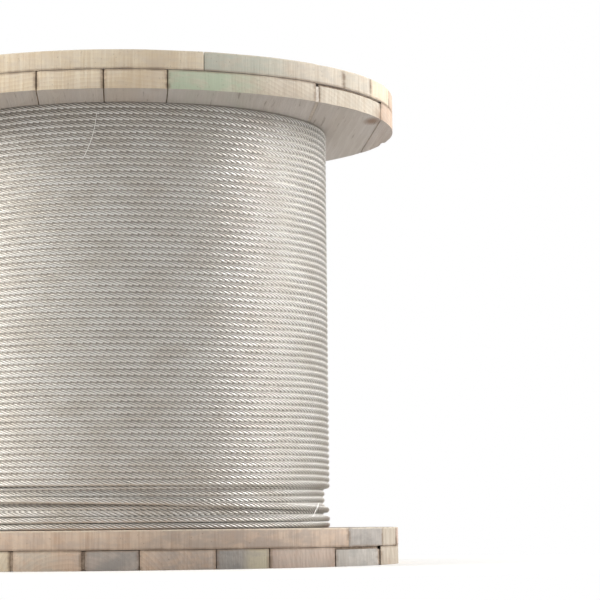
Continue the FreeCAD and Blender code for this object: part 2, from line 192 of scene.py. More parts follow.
class Shader:
    """A short way to write node trees: each call adds a node, sets its values and links its inputs."""

    def __init__(self, tree):
        self.tree = tree

    def node(self, kind, inputs=None, **settings):
        node = self.tree.nodes.new(kind)
        for name, value in settings.items():
            setattr(node, name, value)
        for key, value in (inputs or {}).items():
            self.feed(value, node.inputs[key])
        return node

    def feed(self, value, socket):
        """Links a socket to another one, or gives it a value of its own."""
        if isinstance(value, bpy.types.NodeSocket):
            self.tree.links.new(value, socket)
        else:
            socket.default_value = value

    def math(self, operation, first, second=0.0, third=0.0, clamp=False):
        values = {0: first, 1: second, 2: third}
        return self.node("ShaderNodeMath", values, operation=operation, use_clamp=clamp).outputs[0]

    def mix(self, share, first, second):
        """Two colours or values mixed. This node takes them at its seventh and eighth inputs."""
        return self.node("ShaderNodeMix", {0: share, 6: first, 7: second}, data_type="RGBA").outputs[2]

    def ramp(self, value, low, high, out_low=0.0, out_high=1.0):
        """A smooth step of a value from one level to another."""
        return self.node("ShaderNodeMapRange", {0: value, 1: low, 2: high, 3: out_low, 4: out_high},
                         interpolation_type="SMOOTHSTEP").outputs[0]

    def stretched(self, place, scale):
        return self.node("ShaderNodeMapping", {"Vector": place, "Scale": scale}).outputs[0]

    def part(self, vector, number):
        """One of the three numbers of a vector."""
        return self.node("ShaderNodeSeparateXYZ", {0: vector}).outputs[number]

    def object_place(self):
        return self.node("ShaderNodeTexCoord").outputs["Object"]

    def distance(self, value, other):
        return self.math("ABSOLUTE", self.math("SUBTRACT", value, other))

    def bump(self, height, strength, distance, below=None):
        inputs = {"Height": height, "Strength": strength, "Distance": distance}
        if below is not None:
            inputs["Normal"] = below
        return self.node("ShaderNodeBump", inputs).outputs[0]

    def noise(self, place, scale, detail, roughness):
        inputs = {"Vector": place, "Scale": scale, "Detail": detail, "Roughness": roughness}
        return self.node("ShaderNodeTexNoise", inputs).outputs[0]


def colour(red, green, blue):
    """A colour as it looks on a screen, from 0 to 255, in the linear values that a socket holds."""
    def linear(level):
        share = level / 255
        return share / 12.92 if share <= 0.04045 else ((share + 0.055) / 1.055) ** 2.4
    return (linear(red), linear(green), linear(blue), 1.0)


def new_group(name, inputs, outputs):
    """A shader node group with named sockets. Returns the group, its Shader and its input sockets."""
    group = bpy.data.node_groups.new(name, "ShaderNodeTree")
    kinds = {"value": "NodeSocketFloat", "colour": "NodeSocketColor", "vector": "NodeSocketVector"}
    for label, kind, value in inputs:
        socket = group.interface.new_socket(label, in_out="INPUT", socket_type=kinds[kind])
        if value is not None:
            socket.default_value = value
    for label, kind in outputs:
        group.interface.new_socket(label, in_out="OUTPUT", socket_type=kinds[kind])
    shader = Shader(group)
    return group, shader, shader.node("NodeGroupInput").outputs


def new_material(name):
    material = bpy.data.materials.new(name)
    material.use_nodes = True
    shader = Shader(material.node_tree)
    surface = material.node_tree.nodes["Principled BSDF"]
    return material, shader, surface


# ---------------------------------------------------------------- wood

KNOT = colour(142, 106, 78)
RED_HEART = colour(190, 148, 122)
# The two joint tones are partly dirt and partly painted shade.
JOINT_DIRT_AND_SHADE = colour(142, 122, 104)
SIDE_DIRT_AND_SHADE = colour(140, 120, 102)
WORN_EDGE = colour(232, 222, 202)
# Greyer tones for faces that look down: painted underside shade.
PALE_UNDERSIDE_SHADE = colour(225, 220, 217)
DARK_UNDERSIDE_SHADE = colour(205, 200, 196)
CHECK = colour(116, 98, 82)
SAW_GROOVE = colour(120, 104, 90)
# A level or side that a board doesn't have lies this far off.
NOWHERE = -1.0
SAW_MARK_SHARE = 0.5
RING_DENSITY = 58.0


def rough_wood_group():
    """Rough-sawn softwood. Its place runs along the grain in X. Faces show long fibres, and the reel's rim
    shows the marks of the saw that cut it round, across its thickness."""
    group, shader, given = new_group("rough_wood", [
        ("Place", "vector", None), ("Object place", "vector", None),
        ("Pale", "colour", colour(215, 198, 165)), ("Brown", "colour", colour(170, 145, 115)),
        ("Grey", "colour", colour(165, 158, 150)), ("Weathering", "value", 0.3),
        ("Stain", "colour", colour(165, 190, 160)), ("Stain amount", "value", 0.0),
        ("Stain middle", "value", 0.0), ("Stain reach", "value", 0.1), ("Ring share", "value", 0.1),
        ("Joint level", "value", NOWHERE), ("Worn level", "value", NOWHERE),
        ("Across", "value", 0.0), ("Side low", "value", NOWHERE), ("Side high", "value", -NOWHERE)],
        [("Colour", "colour"), ("Roughness", "value"), ("Height", "value")])
    place = given["Place"]
    spot = given["Object place"]
    level = shader.part(spot, 2)
    facing = shader.part(shader.node("ShaderNodeNewGeometry").outputs["Normal"], 2)
    upward = shader.math("ABSOLUTE", facing)
    on_rim = shader.ramp(upward, 0.7, 0.3)

    def along_grain(lengthwise, crosswise, detail, roughness):
        """A pattern drawn out along the grain. Both sizes count its waves in a metre."""
        drawn_out = shader.stretched(place, (lengthwise, crosswise, crosswise))
        return shader.noise(drawn_out, 1.0, detail, roughness)

    def on_sawn_rim(flat, upright, detail, roughness):
        """A pattern for the rim, with its waves in a metre round the reel and up it."""
        return shader.noise(shader.stretched(spot, (flat, flat, upright)), 1.0, detail, roughness)

    def product(first, second, clamp=False):
        return shader.math("MULTIPLY", first, second, clamp=clamp)

    ring_inputs = {"Vector": shader.stretched(place, (0.3, 1, 1)), "Scale": RING_DENSITY, "Distortion": 5.0,
                   "Detail": 2.0, "Detail Scale": 0.35, "Detail Roughness": 0.6}
    rings = shader.node("ShaderNodeTexWave", ring_inputs, wave_type="RINGS", rings_direction="X",
                        wave_profile="SAW").outputs[1]
    fibres = along_grain(7, 330, 4.0, 0.65)
    fine_fibres = along_grain(30, 1300, 2.0, 0.6)
    teeth = on_sawn_rim(420, 14, 3.0, 0.7)
    wide_teeth = on_sawn_rim(110, 9, 3.0, 0.6)
    saw = shader.math("MULTIPLY_ADD", teeth, 0.6, product(wide_teeth, 0.4))
    patches = shader.mix(on_rim, along_grain(2.2, 17, 4.0, 0.6), shader.noise(spot, 14.0, 4.0, 0.6))
    rim_blotches = shader.noise(shader.stretched(spot, (1, 1, 2.2)), 38.0, 5.0, 0.65)
    blotches = shader.mix(on_rim, along_grain(4, 48, 5.0, 0.65), rim_blotches)

    # The wood's own tone: pale and brown in the grain, then grey where it has weathered and red in places.
    grain = shader.math("MULTIPLY_ADD", rings, 0.45, product(fibres, 0.75), clamp=True)
    sawn = shader.math("MULTIPLY_ADD", rings, given["Ring share"], product(saw, 0.92))
    streaks = shader.ramp(shader.mix(on_rim, grain, sawn), 0.36, 0.66)
    tone = shader.mix(product(streaks, 0.75), given["Pale"], given["Brown"])
    tone = shader.mix(product(shader.ramp(patches, 0.45, 0.7), 0.6), tone, given["Brown"])
    grey_share = product(shader.ramp(blotches, 0.4, 0.66), given["Weathering"], clamp=True)
    tone = shader.mix(grey_share, tone, given["Grey"])
    reds = shader.mix(on_rim, along_grain(3, 26, 4.0, 0.6), shader.noise(spot, 21.0, 4.0, 0.6))
    tone = shader.mix(product(shader.ramp(reds, 0.6, 0.76), 0.4), tone, RED_HEART)

    # A stain that fades out to both sides of its middle.
    away = shader.distance(shader.part(spot, 0), given["Stain middle"])
    near = shader.ramp(shader.math("DIVIDE", away, given["Stain reach"]), 1.0, 0.35)
    stain_share = product(near, shader.ramp(blotches, 0.32, 0.6, 0.45, 1.0))
    tone = shader.mix(product(stain_share, given["Stain amount"], clamp=True), tone, given["Stain"])

    # Dirt and painted shade along the joints, and pale bruised wood along the worn edge.
    # A dark band where two layers of boards meet: partly dirt, partly painted shade.
    from_joint = shader.distance(level, given["Joint level"])
    near_joint = shader.ramp(from_joint, 3.6 * MM, 0.6 * MM)
    tone = shader.mix(product(near_joint, shader.ramp(blotches, 0.3, 0.65, 0.25, 0.8)), tone, JOINT_DIRT_AND_SHADE)
    # A dark band along a board's sawn sides: partly dirt, partly painted shade in the gap to the next board.
    from_sides = [shader.distance(given["Across"], given[side]) for side in ("Side low", "Side high")]
    near_side = shader.ramp(shader.math("MINIMUM", *from_sides), 5.5 * MM, 0.8 * MM)
    tone = shader.mix(product(near_side, shader.ramp(blotches, 0.35, 0.62, 0.1, 0.75)), tone, SIDE_DIRT_AND_SHADE)
    from_worn = shader.distance(level, given["Worn level"])
    near_worn = shader.ramp(from_worn, 2.6 * MM, 0.5 * MM)
    worn = product(near_worn, shader.ramp(wide_teeth, 0.35, 0.55, 0.15, 0.85))
    tone = shader.mix(product(worn, shader.ramp(upward, 0.98, 0.85)), tone, WORN_EDGE)

    # Faces that look down turn greyer: painted shade on the undersides.
    underside_shade = product(shader.ramp(facing, -0.55, -0.8), shader.ramp(patches, 0.25, 0.65, 0.95, 0.7))
    tone = shader.mix(underside_shade, tone, shader.mix(fibres, PALE_UNDERSIDE_SHADE, DARK_UNDERSIDE_SHADE))

    # Knots, drying checks and the deepest saw grooves.
    knot_inputs = {"Vector": shader.stretched(place, (2.6, 6.5, 6.5)), "Scale": 1.0}
    from_knot = shader.node("ShaderNodeTexVoronoi", knot_inputs).outputs["Distance"]
    tone = shader.mix(shader.ramp(from_knot, 0.11, 0.03, 0.0, 0.75), tone, KNOT)
    checks = shader.ramp(along_grain(9, 260, 3.0, 0.6), 0.62, 0.7)
    dark_specks = shader.mix(on_rim, checks, shader.ramp(shader.noise(spot, 260.0, 3.0, 0.7), 0.62, 0.74))
    tone = shader.mix(product(dark_specks, 0.4), tone, CHECK)
    tone = shader.mix(product(shader.ramp(saw, 0.62, 0.8), product(on_rim, SAW_MARK_SHARE)), tone, SAW_GROOVE)

    result = shader.node("NodeGroupOutput").inputs
    shader.feed(tone, result["Colour"])
    shader.feed(shader.ramp(streaks, 0.0, 1.0, 0.74, 0.92), result["Roughness"])
    rough = shader.math("MULTIPLY_ADD", fine_fibres, 0.35, product(fibres, 0.65))
    shader.feed(shader.mix(on_rim, rough, saw), result["Height"])
    return group


def board_material(name, wood, along_y, seed, **tones):
    """A board's own finish: its grain runs along it, and its heart lies somewhere below it."""
    material, shader, surface = new_material(name)
    spot = shader.object_place()
    turn = math.pi / 2 if along_y else 0.0
    heart = ((seed * 0.37) % 1.0, 0.02 + 0.06 * ((seed * 0.61) % 1.0), 0.03 + 0.04 * ((seed * 0.29) % 1.0))
    turned = {"Vector": spot, "Rotation": (0, 0, turn), "Location": heart}
    place = shader.node("ShaderNodeMapping", turned).outputs[0]
    across = shader.part(spot, 0 if along_y else 1)
    inputs = {"Place": place, "Object place": spot, "Across": across, **tones}
    finish = shader.node("ShaderNodeGroup", inputs, node_tree=wood)
    shader.feed(finish.outputs["Colour"], surface.inputs["Base Color"])
    shader.feed(finish.outputs["Roughness"], surface.inputs["Roughness"])
    shader.feed(shader.bump(finish.outputs["Height"], 0.6, 1.4 * MM), surface.inputs["Normal"])
    surface.inputs["Specular IOR Level"].default_value = 0.3
    return material


# ---------------------------------------------------------------- steel

BRIGHT_WIRE = colour(238, 236, 232)
DULLED_WIRE = colour(224, 219, 211)
WIRE_FLECK = colour(176, 168, 158)
OILY_GROOVE_AND_SHADE = colour(142, 138, 131)


def wire_material():
    """Bright drawn wire in strands: fine wires run along the rope's axis, and the grooves between the strands
    are darkened, partly by old oil and partly as painted shade. The piece's UV map has the lays along it in U
    and once round the rope in V."""
    material, shader, surface = new_material("bright_wire_rope")
    lay_map = shader.node("ShaderNodeUVMap", uv_map="lay").outputs[0]
    along, around = shader.part(lay_map, 0), shader.part(lay_map, 1)
    from_groove = shader.math("PINGPONG", shader.math("MULTIPLY", around, float(STRAND_COUNT)), 0.5)
    from_crown = shader.math("SUBTRACT", 1.0, shader.math("MULTIPLY", from_groove, 2.0))
    squared = shader.math("POWER", from_crown, 2.0)
    roundness = shader.math("SQRT", shader.math("SUBTRACT", 1.0, squared, clamp=True))
    groove = shader.ramp(roundness, 0.4, 0.97, 1.0, 0.0)
    wire_turn = shader.math("MULTIPLY", shader.math("ADD", along, around), 2 * math.pi * WIRES_PER_LAY)
    wires = shader.math("SINE", wire_turn)
    spot = shader.object_place()
    dull = shader.noise(shader.stretched(spot, (1, 1, 2.5)), 18.0, 4.0, 0.6)
    flecks = shader.noise(spot, 700.0, 2.0, 0.6)
    tone = shader.mix(shader.ramp(dull, 0.35, 0.7), BRIGHT_WIRE, DULLED_WIRE)
    tone = shader.mix(shader.math("MULTIPLY", shader.ramp(flecks, 0.5, 0.75), 0.25), tone, WIRE_FLECK)
    # The grooves' darker tone: partly old oil, partly painted shade between the strands.
    tone = shader.mix(shader.math("MULTIPLY", groove, 0.9), tone, OILY_GROOVE_AND_SHADE)
    shader.feed(tone, surface.inputs["Base Color"])
    shader.feed(shader.ramp(groove, 0.0, 1.0, 0.34, 0.6), surface.inputs["Roughness"])
    surface.inputs["Metallic"].default_value = 0.7
    rounded = shader.bump(roundness, 1.0, 1.6 * MM)
    shader.feed(shader.bump(wires, 0.3, 0.12 * MM, rounded), surface.inputs["Normal"])
    return material


def plain_steel_material(name, tone, rust, rust_share, roughness):
    """Steel fittings: plain or zinc-plated metal with rust in patches."""
    material, shader, surface = new_material(name)
    patches = shader.noise(shader.object_place(), 160.0, 4.0, 0.65)
    rusty = shader.ramp(patches, 0.62 - rust_share * 0.4, 0.72 - rust_share * 0.3)
    shader.feed(shader.mix(rusty, tone, rust), surface.inputs["Base Color"])
    shader.feed(shader.math("SUBTRACT", 0.95, rusty, clamp=True), surface.inputs["Metallic"])
    shader.feed(shader.ramp(rusty, 0.0, 1.0, roughness, 0.85), surface.inputs["Roughness"])
    shader.feed(shader.bump(patches, 0.4, 0.3 * MM), surface.inputs["Normal"])
    return material


def oiled_core_material():
    """The greasy layers below the outer one, seen only in the slits between turns."""
    material, shader, surface = new_material("oiled_inner_layers")
    shade = shader.noise(shader.object_place(), 60.0, 3.0, 0.6)
    tone = shader.mix(shade, colour(178, 173, 166), colour(150, 145, 138))
    shader.feed(tone, surface.inputs["Base Color"])
    shader.feed(shader.ramp(shade, 0.3, 0.7, 0.5, 0.75), surface.inputs["Roughness"])
    surface.inputs["Metallic"].default_value = 0.5
    return material


# ---------------------------------------------------------------- rope

def strand_profile(angle):
    """The radius of the rope's outline at an angle round it: six round strands with grooves between them."""
    from_crown = (angle + math.pi / STRAND_COUNT) % (2 * math.pi / STRAND_COUNT) - math.pi / STRAND_COUNT
    centre = 2 * STRAND_RADIUS
    inside = max(STRAND_RADIUS ** 2 - (centre * math.sin(from_crown)) ** 2, 0.0)
    return max(centre * math.cos(from_crown) + math.sqrt(inside), GROOVE_SHARE * ROPE_RADIUS)


def one_lay():
    """One lay of straight rope along +X, open at both ends: its outline turned once as it runs along."""
    bm = bmesh.new()
    points = STRAND_COUNT * POINTS_PER_STRAND
    upright = Matrix.Rotation(math.pi / 2, 4, "Y")
    bmesh.ops.create_circle(bm, cap_ends=False, segments=points, radius=1.0, matrix=upright)
    bmesh.ops.rotate(bm, verts=bm.verts, cent=(0, 0, 0), matrix=Matrix.Rotation(math.pi / points, 3, "X"))
    for vert in bm.verts:
        angle = math.atan2(vert.co.z, vert.co.y) + math.pi / 2
        snapped = round(angle / (2 * math.pi / points) - 0.5) + 0.5
        vert.co *= strand_profile(snapped * 2 * math.pi / points)
    bmesh.ops.spin(bm, geom=bm.verts[:] + bm.edges[:], cent=(0, 0, 0), axis=(1, 0, 0), angle=2 * math.pi,
                   dvec=(LAY_LENGTH / STEPS_PER_LAY, 0, 0), steps=STEPS_PER_LAY)
    mesh = bpy.data.meshes.new("one_lay")
    bm.to_mesh(mesh)
    bm.free()
    return mesh


def straight_rope(lays):
    """A straight length of rope along +X with closed ends, as a mesh with its lay map."""
    source = bpy.data.objects.new("straight_rope", lay_mesh)
    bpy.context.scene.collection.objects.link(source)
    row = source.modifiers.new("lays", "ARRAY")
    row.count = lays
    row.use_relative_offset = False
    row.use_constant_offset = True
    row.constant_offset_displace = (LAY_LENGTH, 0, 0)
    row.use_merge_vertices = True
    row.merge_threshold = MERGE_DISTANCE
    mesh = evaluated(source)
    bpy.data.objects.remove(source)
    bm = bmesh.new()
    bm.from_mesh(mesh)
    bmesh.ops.holes_fill(bm, edges=[edge for edge in bm.edges if edge.is_boundary], sides=0)
    bmesh.ops.recalc_face_normals(bm, faces=bm.faces)
    bm.to_mesh(mesh)
    bm.free()
    map_lays(mesh)
    return mesh


def map_lays(mesh):
    """Writes the lay map of straight rope: U counts lays, V goes once round and follows the strands."""
    places = np.empty(len(mesh.vertices) * 3, dtype=np.float32)
    mesh.vertices.foreach_get("co", places)
    places = places.reshape(-1, 3)
    lays = places[:, 0] / LAY_LENGTH
    around = (np.arctan2(places[:, 2], places[:, 1]) / (2 * math.pi) - lays) % 1.0
    corners = np.empty(len(mesh.loops), dtype=np.int32)
    mesh.loops.foreach_get("vertex_index", corners)
    starts = np.empty(len(mesh.polygons), dtype=np.int32)
    mesh.polygons.foreach_get("loop_start", starts)
    face_of = np.zeros(len(corners), dtype=np.int32)
    face_of[starts[1:]] = 1
    first = around[corners][starts[np.cumsum(face_of)]]
    turned = around[corners]
    turned = turned - np.round(turned - first)
    layer = mesh.uv_layers.new(name="lay")
    layer.data.foreach_set("uv", np.stack([lays[corners], turned], axis=1).ravel())


def laid_rope(name, route, material):
    """A piece of rope along a route. The route is a row of points with the way out from the reel at each."""
    points, outward = route
    runs = np.linalg.norm(np.diff(points, axis=0), axis=1)
    travelled = np.concatenate([[0.0], np.cumsum(runs)])
    lays = max(1, round(travelled[-1] / LAY_LENGTH))
    mesh = straight_rope(lays)
    places = np.empty(len(mesh.vertices) * 3, dtype=np.float32)
    mesh.vertices.foreach_get("co", places)
    places = places.reshape(-1, 3).astype(float)
    share = places[:, 0] / (lays * LAY_LENGTH) * travelled[-1]
    centre = np.stack([np.interp(share, travelled, points[:, axis]) for axis in range(3)], axis=1)
    out = np.stack([np.interp(share, travelled, outward[:, axis]) for axis in range(2)], axis=1)
    out /= np.linalg.norm(out, axis=1)[:, None]
    wound = centre
    wound[:, :2] -= out * places[:, 1:2]
    wound[:, 2] = np.minimum(wound[:, 2] + places[:, 2], COIL_TOP)
    mesh.vertices.foreach_set("co", wound.astype(np.float32).ravel())
    mesh.update()
    return piece_of_mesh(name, mesh, material, ["wire_rope"], "wire_rope", smooth_angle=math.pi)


def turn_route(turns, row_radius, height):
    """A route round the reel. Turns are counted from the front, and radius and height follow them."""
    radius = row_radius(turns)
    angle = FRONT + turns * 2 * math.pi
    outward = np.stack([np.cos(angle), np.sin(angle)], axis=1)
    points = np.column_stack([outward * radius[:, None], height(turns)])
    return points, outward


def eased(turns, knots):
    """Reads a value between knots of (turns, value), with no kink at any of them and no overshoot."""
    at = np.array([knot[0] for knot in knots])
    value = np.array([knot[1] for knot in knots])
    rises = np.diff(value) / np.diff(at)
    same_way = rises[:-1] * rises[1:] > 0
    slope = np.zeros(len(at))
    both = np.where(same_way, rises[:-1] + rises[1:], 1)
    slope[1:-1] = np.where(same_way, 2 * rises[:-1] * rises[1:] / both, 0)
    slope[0], slope[-1] = rises[0], rises[-1]
    slot = np.clip(np.searchsorted(at, turns) - 1, 0, len(at) - 2)
    span = at[slot + 1] - at[slot]
    share = np.clip((turns - at[slot]) / span, 0.0, 1.0)
    start, end = value[slot], value[slot + 1]
    start_slope, end_slope = slope[slot] * span, slope[slot + 1] * span
    square, cube = share ** 2, share ** 3
    return ((2 * cube - 3 * square + 1) * start + (cube - 2 * square + share) * start_slope
            + (3 * square - 2 * cube) * end + (cube - square) * end_slope)


# The loose turn below the full outer layer: turns from the front, its height in pitches from the lowest
# full turn, and how far it sinks towards the layer below, from 0 to 1.
LOOSE_TURN = [
    (0.0, 0.0, 0.0), (0.25, -0.25, 0.0), (0.5, -1.15, 0.0), (0.75, -2.05, 0.0), (0.9, -2.45, 0.0),
    (1.0, -2.9, 0.0), (1.08, -3.45, 0.0), (1.24, -4.3, 0.1), (1.5, -4.55, 0.0), (1.75, -4.6, 0.15),
    (1.9, -4.72, 0.55), (2.0, -4.74, 0.95), (2.1, -4.7, 1.3), (2.2, -4.65, 2.0)]
INNER_ROWS = [-0.6, -1.62, -2.68, -3.72, -4.55, -5.5]


def wandering(turns, seed):
    """Small uneven stretches in how the turns lie, in pitches."""
    return DRIFT * np.array([noise.noise(Vector((turn * DRIFTS_PER_TURN, seed, 0.0))) for turn in turns])


def outer_layer_routes():
    """The full outer layer from the upper flange down, cut into lengths."""
    first = 0.5 - UPPER_TURNS
    cuts = np.linspace(first, 0.0, UPPER_LENGTHS + 1)
    for start, end in zip(cuts[:-1], cuts[1:]):
        turns = np.linspace(start, end, round((end - start) * POINTS_PER_TURN) + 1)
        drift = wandering(turns, 1.0)
        yield turn_route(turns, lambda t: np.full(len(t), OUTER_ROW),
                         lambda t: LAST_ROW_Z + TURN_PITCH * (drift - t))


def loose_route():
    """The loose turn, which crosses the gap and at last sinks into the layer below."""
    turns = np.linspace(0.0, LOOSE_TURN[-1][0], LOOSE_POINTS)
    sink = eased(turns, [(knot[0], knot[2]) for knot in LOOSE_TURN])
    fall = eased(turns, [(knot[0], knot[1]) for knot in LOOSE_TURN])
    return turn_route(turns, lambda t: OUTER_ROW - LAYER_RISE * sink,
                      lambda t: LAST_ROW_Z + TURN_PITCH * fall)


def inner_row_route(pitches):
    """One closed turn of the layer below, seen in the gap. It laps over its own start at the back."""
    turns = np.linspace(-0.5, 0.5, POINTS_PER_TURN + 1)
    drift = wandering(turns, pitches)
    return turn_route(turns, lambda t: np.full(len(t), INNER_ROW),
                      lambda t: LAST_ROW_Z + TURN_PITCH * (pitches + drift))


# The two lowest turns: turns from where the free end leaves, with the height in pitches above the lowest
# row, and with how far they sink towards the layer below, from 0 to 1 and more.
BOTTOM_FALL = [(-2.15, 1.9), (-1.9, 1.05), (-1.1, 1.0), (-0.95, 0.02), (0.0, 0.0)]
BOTTOM_SINK = [(-2.15, 1.6), (-1.9, 0.0), (-0.6, 0.0), (0.0, 0.0)]


def bottom_route():
    """The two lowest turns on the flange, and the free end that leaves the lowest one."""
    leaving_turn = (TAIL_LEAVING - FRONT) / (2 * math.pi)
    turns = np.linspace(leaving_turn + BOTTOM_FALL[0][0], leaving_turn, BOTTOM_POINTS)
    fall = eased(turns, [(leaving_turn + at, pitches) for at, pitches in BOTTOM_FALL])
    sink = eased(turns, [(leaving_turn + at, layers) for at, layers in BOTTOM_SINK])
    points, outward = turn_route(turns, lambda t: OUTER_ROW - LAYER_RISE * sink,
                                 lambda t: COIL_BOTTOM + ROPE_RADIUS + TURN_PITCH * np.maximum(fall, 0.0))
    out = Vector((math.cos(TAIL_LEAVING), math.sin(TAIL_LEAVING)))
    middle = out * (OUTER_ROW - TAIL_BEND)
    angles = TAIL_LEAVING + np.linspace(0.0, TAIL_LENGTH / TAIL_BEND, TAIL_POINTS)[1:]
    tail_outward = np.stack([np.cos(angles), np.sin(angles)], axis=1)
    tail = np.column_stack([np.array(middle) + tail_outward * TAIL_BEND,
                            np.full(len(angles), COIL_BOTTOM + ROPE_RADIUS)])
    return np.concatenate([points, tail]), np.concatenate([outward, tail_outward])


# Where the outer layer ends above the gap: turns from the front, and height in pitches from the lowest
# full turn.
LAYER_EDGE = [(0.0, 0.0), (0.25, -0.2), (0.36, 0.3), (0.5, 0.5), (0.75, 0.25), (1.0, 0.0)]


def rope_core(material):
    """The layers below, as a turned ring behind the turns that show."""
    bm = bmesh.new()
    bore = DRUM_RADIUS + CORE_CLEARANCE
    inner_wall = INNER_ROW + INNER_GREASE_SHARE * GREASE_LEVEL
    outer_wall = OUTER_ROW + GREASE_LEVEL
    corners = [(bore, COIL_BOTTOM), (inner_wall, COIL_BOTTOM), (inner_wall, LAST_ROW_Z),
               (outer_wall, LAST_ROW_Z), (outer_wall, COIL_TOP), (bore, COIL_TOP)]
    verts = [bm.verts.new((radius, 0, z)) for radius, z in corners]
    edges = [bm.edges.new((verts[i], verts[(i + 1) % len(verts)])) for i in range(len(verts))]
    bmesh.ops.spin(bm, geom=verts + edges, cent=(0, 0, 0), axis=(0, 0, 1), angle=2 * math.pi,
                   steps=CORE_SEGMENTS, use_merge=True)
    for vert in bm.verts:
        if abs(vert.co.z - LAST_ROW_Z) < 0.1 * MM:
            turn = (math.atan2(vert.co.y, vert.co.x) - FRONT) / (2 * math.pi) % 1.0
            vert.co.z = LAST_ROW_Z + TURN_PITCH * eased(np.array([turn]), LAYER_EDGE)[0]
    bmesh.ops.recalc_face_normals(bm, faces=bm.faces)
    return mesh_piece("rope_inner_layers", bm, material, ["wire_rope"], "wire_rope", math.radians(35))


def stray_wire(name, angle, top, length, bend, lean, material):
    """A broken wire that stands off the coil: a thin arc that hangs down the coil's face."""
    bm = bmesh.new()
    ring = bmesh.ops.create_circle(bm, cap_ends=True, segments=6, radius=STRAY_WIRE_RADIUS)
    bmesh.ops.translate(bm, verts=ring["verts"], vec=(bend, 0, 0))
    bmesh.ops.spin(bm, geom=bm.faces[:], cent=(0, 0, 0), axis=(0, 1, 0), angle=length / bend, steps=14)
    bmesh.ops.translate(bm, verts=bm.verts, vec=(-bend, 0, 0))
    bmesh.ops.remove_doubles(bm, verts=bm.verts, dist=STRAY_WIRE_RADIUS / 20)
    bmesh.ops.rotate(bm, verts=bm.verts, cent=(0, 0, 0), matrix=Matrix.Rotation(lean, 3, "Y"))
    facing = Matrix.Rotation(angle, 3, "Z")
    place = facing @ Vector((0, -OUTER_ROW - ROPE_RADIUS - STRAY_WIRE_GAP, top))
    bmesh.ops.rotate(bm, verts=bm.verts, cent=(0, 0, 0), matrix=facing)
    bmesh.ops.translate(bm, verts=bm.verts, vec=place)
    bmesh.ops.recalc_face_normals(bm, faces=bm.faces)
    return mesh_piece(name, bm, material, ["wire_rope"], "wire_rope", math.radians(60))


# ---------------------------------------------------------------- boards

def nail_spots():
    """The nails' places in a flange: 24 near the rim and 12 nearer the drum."""
    for radius, count in NAIL_CIRCLES:
        for number in range(count):
            angle = 2 * math.pi * (number + 0.5) / count
            yield radius * math.cos(angle), radius * math.sin(angle)


def cylinder_into(bm, x, y, low, high, radius, segments):
    """Adds an upright closed cylinder to a bmesh."""
    middle = Matrix.Translation((x, y, (low + high) / 2))
    bmesh.ops.create_cone(bm, cap_ends=True, segments=segments, radius1=radius, radius2=radius,
                          depth=high - low, matrix=middle)


def flange_cutters(end):
    """Everything that is cut out of a flange's boards: the arbor hole, the recesses and the nails' dents."""
    outer_face = 0.0 if end == "lower" else REEL_HEIGHT
    inwards = 1 if end == "lower" else -1
    bm = bmesh.new()

    def hole(x, y, depth, radius, segments):
        levels = sorted((outer_face - inwards * CUTTER_OVERRUN, outer_face + inwards * depth))
        cylinder_into(bm, x, y, *levels, radius, segments)

    hole(0, 0, THROUGH, ARBOR_RADIUS, 64)
    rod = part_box("tie_rod_1")
    rod_x = abs(rod[0][0] + rod[1][0]) / 2
    for x, y in ((rod_x, rod_x), (-rod_x, rod_x), (-rod_x, -rod_x), (rod_x, -rod_x)):
        hole(x, y, RECESS_DEPTH, RECESS_RADIUS, 40)
    for x, y in nail_spots():
        hole(x, y, NAIL_DENT_DEPTH, NAIL_DENT_RADIUS, 12)
    mesh = bpy.data.meshes.new(f"{end}_cutters")
    bm.to_mesh(mesh)
    bm.free()
    cutters = bpy.data.objects.new(f"{end}_cutters", mesh)
    bpy.context.scene.collection.objects.link(cutters)
    return cutters


def rough_edge(place, seed):
    """How far a sawn edge has worn back at a place: a little everywhere and a chip here and there."""
    ripple = noise.noise(place * 22 + Vector((seed, 0, 0)))
    chip = max(noise.noise(place * 34 + Vector((0, seed, 7.0))) - 0.38, 0.0)
    return EDGE_WEAR * (1 + ripple) + CHIP_DEPTH * min(chip, 0.3)


def worn_board(node, seed):
    """A board of a flange, as a bmesh: its slice of the disc, with bevelled, worn and chipped edges."""
    low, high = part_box(node)
    bm = bmesh.new()
    cylinder_into(bm, 0, 0, low[2], high[2], FLANGE_RADIUS, RIM_SEGMENTS)
    for axis in (0, 1):
        way = Vector((axis == 0, axis == 1, 0))
        for limit, side in ((low[axis], -1), (high[axis], 1)):
            if abs(limit) < FLANGE_RADIUS - RIM_TOLERANCE:
                cut_away(bm, way * limit, way * side)
    straight = [edge for edge in bm.edges if edge.calc_length() > LONG_EDGE]
    for edge in straight:
        cuts = int(edge.calc_length() / EDGE_STEP)
        bmesh.ops.subdivide_edges(bm, edges=[edge], cuts=cuts, use_grid_fill=False)
    corners = [edge for edge in bm.edges if edge.calc_face_angle() > SHARP_EDGE
               and all(abs(face.normal.z) < 0.1 for face in edge.link_faces)]
    corner_round = CORNER_WEAR.get(node, CORNER_ROUND) * MM
    bmesh.ops.bevel(bm, geom=corners, offset=corner_round, offset_type="OFFSET", segments=3, profile=0.5,
                    affect="EDGES", clamp_overlap=True, material=-1)
    bm.normal_update()
    sharp = [edge for edge in bm.edges if edge.calc_face_angle() > SHARP_EDGE]
    bmesh.ops.bevel(bm, geom=sharp, offset=EDGE_ROUND, offset_type="OFFSET", segments=2, profile=0.5,
                    affect="EDGES", clamp_overlap=True, material=-1)
    wear_back(bm, low, high, seed)
    bmesh.ops.recalc_face_normals(bm, faces=bm.faces)
    return bm


def cut_away(bm, place, way):
    """Cuts off what lies beyond a plane and closes the cut."""
    geometry = bm.verts[:] + bm.edges[:] + bm.faces[:]
    cut = bmesh.ops.bisect_plane(bm, geom=geometry, dist=1e-6, plane_co=place, plane_no=way, clear_outer=True)
    rim = [item for item in cut["geom_cut"] if isinstance(item, bmesh.types.BMEdge)]
    bmesh.ops.contextual_create(bm, geom=rim)


